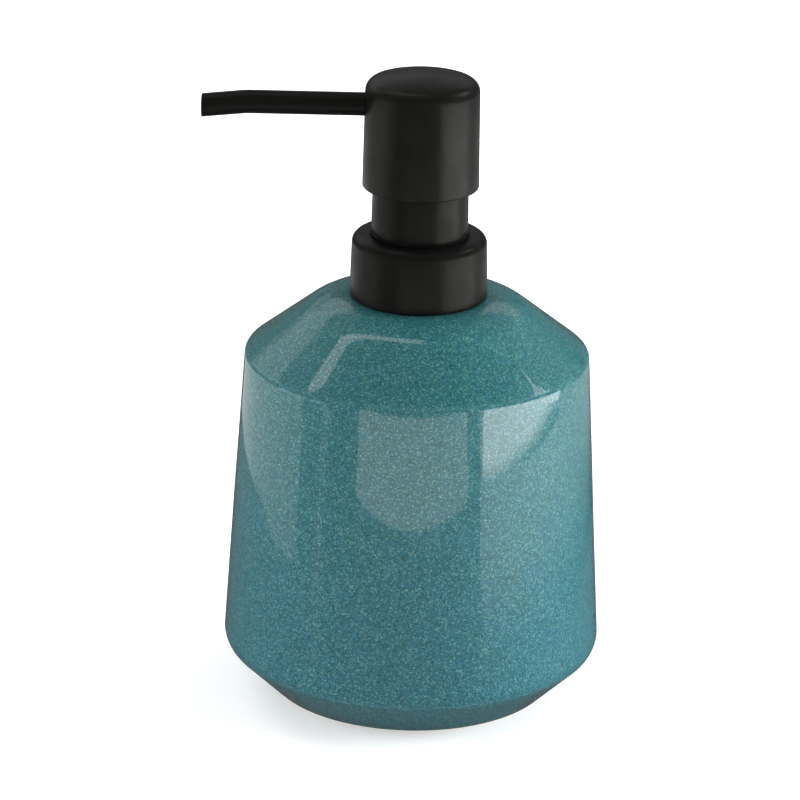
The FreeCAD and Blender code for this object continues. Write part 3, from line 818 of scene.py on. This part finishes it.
@dataclass
class GlazedBottle:
    """The turned ceramic bottle: foot ring, leaning wall, sloping shoulder, mouth and hollow."""

    recess_radius: float = 28.0
    recess_depth: float = 1.2
    foot_radius: float = 33.2
    foot_round: float = 1.0
    belly_radius: float = 44.5
    belly_height: float = 10.9
    belly_round: float = 4.2
    shoulder_radius: float = 40.2
    shoulder_height: float = 81.9
    shoulder_round: float = 1.3
    land_radius: float = 22.4
    top_height: float = 95.8
    land_round: float = 14.0
    mouth_radius: float = 12.0
    mouth_floor: float = 91.4
    hollow_top_radius: float = 20.9
    hollow_shoulder_radius: float = 35.9
    hollow_shoulder_height: float = 79.7
    hollow_belly_radius: float = 40.0
    hollow_belly_height: float = 12.7
    hollow_foot_radius: float = 32.6
    hollow_floor: float = 5.6
    hollow_round: float = 3.0
    dent_size: float = 24.0
    dent_depth: float = 0.16
    dent_fade: float = 6.0
    still_foot: float = 1.5
    still_mouth: float = 17.0
    skin_depth: float = 2.6

    def outline(self) -> list[Corner]:
        """Draws the outline.

        Returns:
            Its corners, from the middle of the underside round to the floor of the hollow.
        """
        return [
            Corner(0.0, self.recess_depth),
            Corner(self.recess_radius - 1.0, self.recess_depth, 0.8),
            Corner(self.recess_radius, 0.0, 0.5),
            Corner(self.foot_radius, 0.0, self.foot_round),
            Corner(self.belly_radius, self.belly_height, self.belly_round),
            Corner(self.shoulder_radius, self.shoulder_height, self.shoulder_round),
            Corner(self.land_radius, self.top_height, self.land_round),
            Corner(self.mouth_radius, self.top_height, 0.3),
            Corner(self.mouth_radius, self.mouth_floor, 0.3),
            Corner(self.hollow_top_radius, self.mouth_floor, self.hollow_round),
            Corner(self.hollow_shoulder_radius, self.hollow_shoulder_height, self.hollow_round),
            Corner(self.hollow_belly_radius, self.hollow_belly_height, self.hollow_round),
            Corner(self.hollow_foot_radius, self.hollow_floor, self.hollow_round),
            Corner(0.0, self.hollow_floor),
        ]

    def build(self, palette: Palette) -> bpy.types.Object:
        """Builds and installs the bottle.

        Args:
            palette: where its glaze comes from.

        Returns:
            The bottle.
        """
        lathe = Lathe(steps=288, arc_step=6.0, longest=3.0)
        bottle = lathe.turn("glazed_bottle", self.outline(), closed=False)
        self._dent(bottle)
        install(bottle, Body.BOTTLE, Slot.GLAZE, palette, "bottle")
        return bottle

    def _dent(self, bottle: bpy.types.Object) -> None:
        """Sinks the outer skin by slight, soft dents, as a fired glaze has.

        Args:
            bottle: the bottle, out of edit mode.
        """
        skin = bottle.vertex_groups.new(name="skin")
        for vertex in bottle.data.vertices:
            share = self._skin_share(vertex.co / MM)
            if share > 0:
                skin.add([vertex.index], share, "REPLACE")
        clouds = bpy.data.textures.new("glaze_dents", type="CLOUDS")
        clouds.noise_scale = self.dent_size * MM
        clouds.noise_depth = 1
        apply_modifier(
            bottle,
            "DISPLACE",
            texture=clouds,
            texture_coords="LOCAL",
            vertex_group="skin",
            strength=self.dent_depth * MM,
            mid_level=1.0,
        )

    def _skin_share(self, place: Vector) -> float:
        """Works out how far the dents reach at a place.

        Args:
            place: the place, in millimetres.

        Returns:
            From 0, inside and at the foot and the mouth, to 1 on the open skin.
        """
        radius = math.hypot(place.x, place.y)
        if not self._on_skin(radius, place.z):
            return 0.0
        above_foot = min(1.0, max(0.0, (place.z - self.still_foot) / self.dent_fade))
        outside_mouth = min(1.0, max(0.0, (radius - self.still_mouth) / self.dent_fade))
        return above_foot * outside_mouth

    def _on_skin(self, radius: float, height: float) -> bool:
        """Tells the outer skin from the hollow.

        Args:
            radius: a place's distance from the axis, in millimetres.
            height: its height, in millimetres.

        Returns:
            Whether the place is on the outer skin.
        """
        if height < self.shoulder_height:
            lean = (self.belly_radius - self.shoulder_radius) / (self.shoulder_height - self.belly_height)
            wall = self.shoulder_radius + (self.shoulder_height - height) * lean
            on_foot = height < self.belly_height and radius > self.foot_radius - 1.0
            return radius > wall - self.skin_depth or on_foot
        roof = self.mouth_floor - (radius - self.mouth_radius) / 2
        return radius > self.mouth_radius + 3.0 and height > roof


# --------------------------------------------------------------------------- the collar


@dataclass
class ScrewCollar:
    """The black collar: a tapered shell over the closure, with the sleeve that guides the head."""

    foot_height: float = 96.0
    foot_radius: float = 16.0
    top_height: float = 110.65
    top_radius: float = 15.55
    edge_round: float = 2.0
    bore_radius: float = 14.7
    roof: float = 0.8
    hole_radius: float = 11.4
    sleeve_radius: float = 11.2
    sleeve_top_radius: float = 11.0
    sleeve_wall: float = 1.0
    sleeve_top: float = 126.35
    flange_radius: float = 12.6
    flange_base: float = 109.05
    lip: float = 0.15
    lip_base: float = 110.8
    lip_top: float = 111.3

    def build(self, palette: Palette) -> list[bpy.types.Object]:
        """Builds and installs the shell and the sleeve.

        Args:
            palette: where their finish comes from.

        Returns:
            The shell and the sleeve.
        """
        lathe = Lathe(steps=160, arc_step=9.0, longest=3.0)
        shell = lathe.turn("collar_cup", self.shell_outline(), closed=True)
        install(shell, Body.COLLAR, Slot.BLACK, palette, "collar_shell", DULL_BLACK)
        sleeve = lathe.turn("head_sleeve", self.sleeve_outline(), closed=True)
        install(sleeve, Body.COLLAR, Slot.BLACK, palette, "guide_sleeve", DULL_BLACK)
        return [shell, sleeve]

    def shell_outline(self) -> list[Corner]:
        """Draws the shell's outline.

        Returns:
            Its corners, from the foot up the outside and down the inside.
        """
        return [
            Corner(self.foot_radius, self.foot_height, 0.25),
            Corner(self.top_radius, self.top_height, self.edge_round),
            Corner(self.hole_radius, self.top_height, 0.12),
            Corner(self.hole_radius, self.top_height - self.roof),
            Corner(self.bore_radius, self.top_height - self.roof, 0.4),
            Corner(self.bore_radius, self.foot_height, 0.15),
        ]

    def sleeve_outline(self) -> list[Corner]:
        """Draws the sleeve's outline.

        Returns:
            Its corners, from the flange up the outside and down the inside.
        """
        roof = self.top_height - self.roof
        return [
            Corner(self.sleeve_radius - self.sleeve_wall, self.flange_base),
            Corner(self.flange_radius, self.flange_base, 0.1),
            Corner(self.flange_radius, roof, 0.1),
            Corner(self.sleeve_radius, roof, 0.1),
            Corner(self.sleeve_radius, self.lip_base),
            Corner(self.sleeve_radius + self.lip, self.lip_base, 0.08),
            Corner(self.sleeve_radius + self.lip, self.lip_top, 0.14),
            Corner(self.sleeve_radius, self.lip_top, 0.1),
            Corner(self.sleeve_top_radius, self.sleeve_top, 0.3),
            Corner(self.sleeve_top_radius - self.sleeve_wall, self.sleeve_top, 0.2),
        ]


# --------------------------------------------------------------------------- the head


@dataclass
class PressHead:
    """The black head that is pressed, with its domed top and the spout that leaves its side."""

    foot_radius: float = 13.42
    foot_height: float = 122.15
    top_radius: float = 13.1
    rim_height: float = 146.9
    crown_height: float = 148.75
    edge_round: float = 2.6
    bore_radius: float = 11.75
    roof_height: float = 145.6
    spout_height: float = 141.3
    spout_radius: float = 2.7
    spout_bore: float = 1.9
    spout_hole: float = 2.75
    spout_root: float = -6.1
    spout_straight_end: float = -39.0
    spout_bend: float = 22.0
    spout_droop: float = 6.0
    spout_tip: float = -50.4
    tip_round: float = 0.35
    spout_sides: int = 72
    straight_runs: int = 8
    bend_steps: int = 6
    droop_runs: int = 4
    droop_run: float = 3.5
    ring_sink: float = 0.5
    crown_radii: tuple[float, ...] = (0.0, 1.5, 3.0, 4.5, 6.0, 7.5, 9.0, 10.2)

    def build(self, palette: Palette) -> list[bpy.types.Object]:
        """Builds and installs the head's shell and the spout.

        Args:
            palette: where their finishes come from.

        Returns:
            The shell and the spout.
        """
        lathe = Lathe(steps=160, arc_step=7.0, longest=2.0)
        shell = lathe.turn("press_cap", self.outline(), closed=False)
        self._cut_spout_hole(shell)
        install(shell, Body.HEAD, Slot.BLACK, palette, "head_shell")
        spout = self._spout()
        install(spout, Body.HEAD, Slot.SPOUT, palette, "spout_tube")
        return [shell, spout]

    def outline(self) -> list[Corner]:
        """Draws the shell's outline.

        Returns:
            Its corners, from the domed crown out, down the side and up the inside.
        """
        rise = self.crown_height - self.rim_height
        dome = (self.top_radius**2 + rise**2) / (2 * rise)
        centre = self.crown_height - dome
        crown = [Corner(radius, centre + math.sqrt(dome**2 - radius**2)) for radius in self.crown_radii]
        return [
            *crown,
            Corner(self.top_radius, self.rim_height, self.edge_round),
            Corner(self.foot_radius, self.foot_height, 0.3),
            Corner(self.bore_radius, self.foot_height, 0.25),
            Corner(self.bore_radius, self.roof_height, 0.6),
            Corner(0.0, self.roof_height),
        ]

    def _cut_spout_hole(self, shell: bpy.types.Object) -> None:
        """Cuts the round hole that the spout passes through.

        Args:
            shell: the head's shell, out of edit mode.
        """
        cutter = open_mesh(
            "spout_hole_cutter",
            bpy.ops.mesh.primitive_cylinder_add,
            vertices=64,
            radius=self.spout_hole * MM,
            depth=8.0 * MM,
            location=(-self.top_radius * MM, 0.0, self.spout_height * MM),
            rotation=(0.0, math.radians(90.0), 0.0),
        )
        close_mesh()
        apply_modifier(shell, "BOOLEAN", operation="DIFFERENCE", solver="EXACT", object=cutter)
        bpy.data.objects.remove(cutter, do_unlink=True)
        bpy.ops.object.mode_set(mode="EDIT")
        close_mesh()

    def _spout(self) -> bpy.types.Object:
        """Builds the spout: two concentric pipes, drawn out, bent, cut upright and joined.

        Returns:
            The spout, out of edit mode.
        """
        ring = {
            "vertices": self.spout_sides,
            "location": (self.spout_root * MM, 0.0, self.spout_height * MM),
            "rotation": (0.0, math.radians(90.0), 0.0),
        }
        add_ring = bpy.ops.mesh.primitive_circle_add
        spout = open_mesh("spout_pipe", add_ring, radius=self.spout_radius * MM, **ring)
        add_ring(radius=self.spout_bore * MM, **ring)
        bpy.ops.mesh.select_all(action="SELECT")
        run = (self.spout_straight_end - self.spout_root) / self.straight_runs * MM
        for _ in range(self.straight_runs):
            self._draw_out((run, 0.0, 0.0))
        droop = math.radians(self.spout_droop)
        bpy.ops.mesh.spin(
            steps=self.bend_steps,
            angle=droop,
            center=(self.spout_straight_end * MM, 0.0, (self.spout_height - self.spout_bend) * MM),
            axis=(0.0, 1.0, 0.0),
        )
        run = -self.droop_run * MM
        for _ in range(self.droop_runs):
            self._draw_out((run * math.cos(droop), 0.0, run * math.sin(droop)))
        bpy.ops.mesh.select_all(action="SELECT")
        bpy.ops.mesh.bisect(
            plane_co=(self.spout_tip * MM, 0.0, 0.0), plane_no=(-1.0, 0.0, 0.0), clear_outer=True
        )
        self._close_end(spout, self.spout_tip, self.ring_sink)
        self._close_end(spout, self.spout_root, -self.ring_sink)
        bpy.ops.mesh.select_all(action="SELECT")
        bpy.ops.mesh.normals_make_consistent(inside=False)
        pick(spout, lambda place: abs(place.x / MM - self.spout_tip) < NEAR)
        bpy.ops.mesh.region_to_loop()
        bpy.ops.mesh.bevel(affect="EDGES", offset=self.tip_round * MM, segments=4, profile=0.5)
        close_mesh()
        return spout

    def _close_end(self, spout: bpy.types.Object, end: float, sink: float) -> None:
        """Bridges the two pipes at one end, with the bore's ring sunk meanwhile so that they pair up.

        Args:
            spout: the two pipes, in edit mode.
            end: how far along X the end is, in millimetres.
            sink: how far the bore's ring is sunk, in millimetres.
        """
        spout.update_from_editmode()
        places = [vertex.co / MM for vertex in spout.data.vertices]
        heights = [place.z for place in places if abs(place.x - end) < NEAR]
        middle = (min(heights) + max(heights)) / 2
        between = (self.spout_radius + self.spout_bore) / 2

        def on_bore(place: Vector) -> bool:
            """Says whether a place is on this end's bore."""
            on_end = abs(place.x / MM - end) < NEAR
            return on_end and math.hypot(place.y / MM, place.z / MM - middle) < between

        pick(spout, on_bore)
        bpy.ops.transform.translate(value=(sink * MM, 0.0, 0.0))
        pick(spout, lambda place: abs(place.x / MM - end) < abs(sink) + NEAR)
        bpy.ops.mesh.bridge_edge_loops()
        pick(spout, lambda place: abs(place.x / MM - end - sink) < NEAR)
        bpy.ops.transform.translate(value=(-sink * MM, 0.0, 0.0))

    @staticmethod
    def _draw_out(step: tuple[float, float, float]) -> None:
        """Extrudes the selected rings by a step in metres."""
        bpy.ops.mesh.extrude_region_move(TRANSFORM_OT_translate={"value": step})


# --------------------------------------------------------------------------- the spring


@dataclass
class ReturnSpring:
    """The steel coil spring, with a closed coil at each end."""

    wire_radius: float = 0.45
    coil_radius: float = 5.1
    base_height: float = 68.5
    top_height: float = 95.8
    end_pitch: float = 0.95
    turns: int = 7
    wire_sides: int = 12
    coil_steps: int = 40
    keep: float = 0.611
    seat_height: float = 0.068

    def build(self, palette: Palette) -> bpy.types.Object:
        """Builds the spring and installs it on the pump unit.

        Args:
            palette: where its finish comes from.

        Returns:
            The spring.
        """
        upper = self.top_height - self.end_pitch
        lower = self.base_height + self.end_pitch
        coils = [
            self._coil("spring_coil", self.base_height, self.end_pitch, 1),
            self._coil("spring_middle", lower, (upper - lower) / self.turns, self.turns),
            self._coil("spring_top", upper, self.end_pitch, 1),
        ]
        spring = coils[0]
        bpy.ops.object.select_all(action="DESELECT")
        for coil in coils:
            coil.select_set(True)
        bpy.context.view_layer.objects.active = spring
        bpy.ops.object.join()
        bpy.ops.object.mode_set(mode="EDIT")
        bpy.ops.mesh.select_all(action="SELECT")
        bpy.ops.mesh.remove_doubles(threshold=TINY)
        for height in (self.base_height, self.top_height):
            pick(spring, lambda place, height=height: self._at_end(place / MM, height))
            bpy.ops.mesh.edge_face_add()
        close_mesh(60.0)
        install(spring, Body.PUMP, Slot.SPRING, palette, "return_spring")
        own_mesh(spring)
        return spring

    def _coil(self, name: str, height: float, pitch: float, turns: int) -> bpy.types.Object:
        """Winds a wire's section round the axis.

        Args:
            name: the coil's name.
            height: where the wire's middle starts, in millimetres.
            pitch: the rise in a turn, in millimetres.
            turns: how many turns it winds.

        Returns:
            The coil, out of edit mode and open at both ends.
        """
        coil = open_mesh(
            name,
            bpy.ops.mesh.primitive_circle_add,
            vertices=self.wire_sides,
            radius=self.wire_radius * MM,
            location=(self.coil_radius * MM, 0.0, height * MM),
            rotation=(math.radians(90.0), 0.0, 0.0),
        )
        bpy.ops.object.mode_set(mode="OBJECT")
        apply_modifier(
            coil,
            "SCREW",
            axis="Z",
            angle=math.tau,
            screw_offset=pitch * MM,
            iterations=turns,
            steps=self.coil_steps,
            render_steps=self.coil_steps,
            use_merge_vertices=False,
        )
        return coil

    def _at_end(self, place: Vector, height: float) -> bool:
        """Says whether a place in millimetres is on the wire's end face at the given height."""
        reach = Vector((place.x - self.coil_radius, place.y, place.z - height))
        return abs(place.y) < 0.001 and reach.length < self.wire_radius * 1.05


# --------------------------------------------------------------------------- what stays from the frame


@dataclass
class InnerWorks:
    """The pump's inner parts and the neck, kept in their own shapes and given their finishes."""

    hidden: tuple[str, ...] = (
        "bottle",
        "collar_shell",
        "guide_sleeve",
        "head_shell",
        "spout_tube",
        "return_spring",
    )

    def dress(self, palette: Palette) -> list[str]:
        """Gives each kept node the material of its slot in the record.

        Args:
            palette: where the materials come from.

        Returns:
            The names of the dressed nodes.
        """
        slots = {part["node"]: part["material_slot"] for part in frame["record"]["subparts"]}
        dressed = []
        for name, node in sorted(frame["nodes"].items()):
            if name in self.hidden:
                continue
            material = palette.material(FINISHES[Slot(slots[name])])
            if node.material_slots:
                for holder in node.material_slots:
                    holder.material = material
            else:
                node.data.materials.append(material)
            LOG.info("%s: kept, finish %s", name, slots[name])
            dressed.append(name)
        return dressed


# --------------------------------------------------------------------------- the studio


@dataclass(frozen=True)
class Softbox:
    """A soft square or oblong lamp, in metres and watts, aimed at the object."""

    name: str
    place: tuple[float, float, float]
    width: float
    height: float
    power: float
    aim: tuple[float, float, float] = (0.0, 0.0, 0.08)

    def hang(self) -> None:
        """Hangs the lamp in the studio."""
        lamp = bpy.data.lights.new(self.name, type="AREA")
        lamp.shape = "RECTANGLE"
        lamp.size = self.width
        lamp.size_y = self.height
        lamp.energy = self.power
        holder = bpy.data.objects.new(self.name, lamp)
        holder.location = self.place
        holder.rotation_mode = "QUATERNION"
        holder.rotation_quaternion = (Vector(self.aim) - Vector(self.place)).to_track_quat("-Z", "Y")
        holder.visible_camera = False
        holder.visible_glossy = False
        bpy.context.scene.collection.objects.link(holder)


def hide_from_all_but_gloss(card: bpy.types.Object) -> None:
    """Lets a card show only in the object's gloss.

    Args:
        card: the card.
    """
    for flag in ("visible_camera", "visible_diffuse", "visible_shadow", "visible_transmission"):
        setattr(card, flag, False)


@dataclass(frozen=True)
class CurvedCard:
    """A curved glowing card round the object, in metres.

    Its bearings are degrees from the camera's side, and grow to the right. Its glow changes from
    its front to its rear, and it fades out over the given height above its foot. A tilt, in degrees,
    lifts its far end.
    """

    name: str
    radius: float
    start: float
    end: float
    low: float
    high: float
    front: float
    rear: float
    fade: float = 0.004
    tilt: float = 0.0

    def stand(self) -> None:
        """Stands the card in the studio."""
        bearing = math.radians(self.start)
        foot = Vector((self.radius * math.sin(bearing), -self.radius * math.cos(bearing), self.low))
        card = open_point(self.name, foot)
        bpy.ops.mesh.extrude_vertices_move(TRANSFORM_OT_translate={"value": (0, 0, self.high - self.low)})
        bpy.ops.mesh.select_all(action="SELECT")
        turned = math.radians(self.start - self.end)
        bpy.ops.mesh.spin(steps=24, angle=turned, center=(0, 0, 0), axis=(0, 0, 1))
        bpy.ops.object.mode_set(mode="OBJECT")
        middle = math.radians((self.start + self.end) / 2)
        outwards = Vector((math.sin(middle), -math.cos(middle), 0.0))
        card.matrix_world = Matrix.Rotation(math.radians(self.tilt), 4, outwards)
        bpy.ops.object.transform_apply(location=True, rotation=True, scale=True)
        glow = GlowFinish(f"{self.name}_glow", self.front, self.rear, foot=self.low, foot_fade=self.fade)
        card.data.materials.append(glow.material())
        hide_from_all_but_gloss(card)


@dataclass(frozen=True)
class FlatCard:
    """A flat glowing card, in metres: its centre and the two half sides that span it."""

    name: str
    centre: tuple[float, float, float]
    half_length: tuple[float, float, float]
    half_width: tuple[float, float, float]
    strength: float

    def stand(self) -> None:
        """Stands the card in the studio."""
        length, width = Vector(self.half_length), Vector(self.half_width)
        face = length.cross(width).normalized()
        turn = Matrix((length, width, face)).transposed().to_4x4()
        card = open_mesh(self.name, bpy.ops.mesh.primitive_plane_add, size=2.0)
        bpy.ops.object.mode_set(mode="OBJECT")
        card.matrix_world = Matrix.Translation(self.centre) @ turn
        bpy.ops.object.transform_apply(location=True, rotation=True, scale=True)
        card.data.materials.append(GlowFinish(f"{self.name}_glow", self.strength, self.strength).material())
        hide_from_all_but_gloss(card)


@dataclass
class StudioSet:
    """The pale sweep, the soft lamps, the reflector cards and the camera."""

    floor_radius: float = 1.7
    floor_rim: float = 0.45
    wall_height: float = 2.2
    wall_bend: float = 0.42
    camera_place: tuple[float, float, float] = (0.0, -0.9178, 0.4083)
    camera_aim: tuple[float, float, float] = (-0.00370, -0.00173, 0.07023)
    camera_lens: float = 188.3
    sensor_width: float = 36.0
    camera_roll: float = 1.199
    air_light: float = 0.10
    softboxes: tuple[Softbox, ...] = (
        Softbox("left_box", (-1.15, 0.0, 0.40), 0.7, 0.7, 7.6),
        Softbox("right_box", (1.15, 0.0, 0.40), 0.8, 0.7, 21.0),
        Softbox("front_box", (0.1, -1.45, 1.2), 1.4, 0.7, 0.8),
        Softbox("rear_left_box", (-0.75, 0.95, 0.85), 0.7, 0.7, 7.0),
        Softbox("rear_right_box", (0.85, 0.95, 0.80), 0.7, 0.7, 7.0),
    )
    curved_cards: tuple[CurvedCard, ...] = (
        CurvedCard("slit_card", 0.45, -60.0, -56.5, -0.15, -0.001, 0.5, 0.5, 0.06),
        CurvedCard("left_card", 0.50, -158.0, -76.0, -0.106, -0.001, 0.8, 0.7),
        CurvedCard("left_glint_card", 0.49, -100.0, -77.0, -0.036, -0.001, 1.6, 1.6),
        CurvedCard("left_head_card", 0.49, -80.0, -60.0, -0.020, 0.030, 1.0, 1.0),
        CurvedCard("right_card", 0.50, 41.0, 158.0, -0.140, -0.001, 1.4, 0.5, 0.07),
        CurvedCard("right_glint_card", 0.49, 43.0, 104.0, -0.057, -0.001, 5.6, 4.8, 0.012, -1.2),
        CurvedCard("right_high_card", 0.70, 95.0, 118.0, 0.50, 0.80, 2.5, 2.5, 0.05),
        CurvedCard("rear_card", 0.60, 150.0, 210.0, 0.30, 0.45, 0.5, 0.5, 0.05),
        CurvedCard("high_left_card", 0.90, -168.0, -112.0, 0.24, 0.75, 0.62, 0.62, 0.25),
        CurvedCard("high_right_card", 0.90, 122.0, 168.0, 0.24, 0.75, 0.12, 0.12, 0.25),
    )
    flat_cards: tuple[FlatCard, ...] = (
        FlatCard("front_card", (-0.0035, -0.15, 0.041), (0.0925, 0, 0), (0, 0, 0.0165), 1.5),
        FlatCard("overhead_card", (-0.29, 0.15, 1.02), (-0.33, 0.12, -0.13), (0.03, 0.075, 0.0), 2.0),
    )

    def build(self) -> None:
        """Builds the whole studio."""
        self._sweep()
        for box in self.softboxes:
            box.hang()
        for card in (*self.curved_cards, *self.flat_cards):
            card.stand()
        self._air()
        self._camera()
        bpy.context.scene.view_settings.view_transform = "Standard"

    def _sweep(self) -> None:
        """Lays the round floor and turns its rim up into a wall with a soft bend."""
        sweep = open_mesh(
            "studio_sweep",
            bpy.ops.mesh.primitive_circle_add,
            vertices=96,
            radius=self.floor_radius,
            fill_type="NGON",
        )
        bpy.ops.mesh.inset(thickness=self.floor_rim)
        rim = self.floor_radius - 0.01
        pick(sweep, lambda place: place.length > rim)
        bpy.ops.mesh.extrude_region_move(TRANSFORM_OT_translate={"value": (0, 0, self.wall_height)})
        pick(sweep, lambda place: place.length > rim and place.z < 0.01)
        bpy.ops.mesh.bevel(affect="EDGES", offset=self.wall_bend, segments=12, profile=0.5)
        bpy.ops.mesh.select_all(action="SELECT")
        bpy.ops.object.mode_set(mode="OBJECT")
        bpy.ops.object.shade_smooth()
        sweep.data.materials.append(PaperFinish().material())
        sweep.visible_glossy = False
        LOG.info("studio_sweep: %d faces", len(sweep.data.polygons))

    def _air(self) -> None:
        """Fills the studio with a little even light."""
        world = bpy.data.worlds.new("studio_air")
        world.use_nodes = True
        background = world.node_tree.nodes["Background"]
        background.inputs["Color"].default_value = (1.0, 1.0, 1.0, 1.0)
        background.inputs["Strength"].default_value = self.air_light
        bpy.context.scene.world = world

    def _camera(self) -> None:
        """Sets the long lens a metre from the object, looking slightly down."""
        lens = bpy.data.cameras.new("studio_camera")
        lens.lens = self.camera_lens
        lens.sensor_width = self.sensor_width
        lens.clip_start = 0.05
        lens.clip_end = 20.0
        camera = bpy.data.objects.new("studio_camera", lens)
        bpy.context.scene.collection.objects.link(camera)
        look = (Vector(self.camera_aim) - Vector(self.camera_place)).to_track_quat("-Z", "Y")
        roll = Matrix.Rotation(math.radians(self.camera_roll), 4, "Z")
        camera.matrix_world = Matrix.Translation(self.camera_place) @ look.to_matrix().to_4x4() @ roll
        bpy.context.scene.camera = camera


# --------------------------------------------------------------------------- all together


def main() -> None:
    """Builds the dispenser's pieces in order, then the studio round them."""
    logging.basicConfig(level=logging.INFO, format="%(name)s: %(message)s")
    palette = Palette()
    GlazedBottle().build(palette)
    ScrewCollar().build(palette)
    PressHead().build(palette)
    ReturnSpring().build(palette)
    InnerWorks().dress(palette)
    StudioSet().build()
    bpy.context.view_layer.update()


if __name__ == "__main__":
    main()
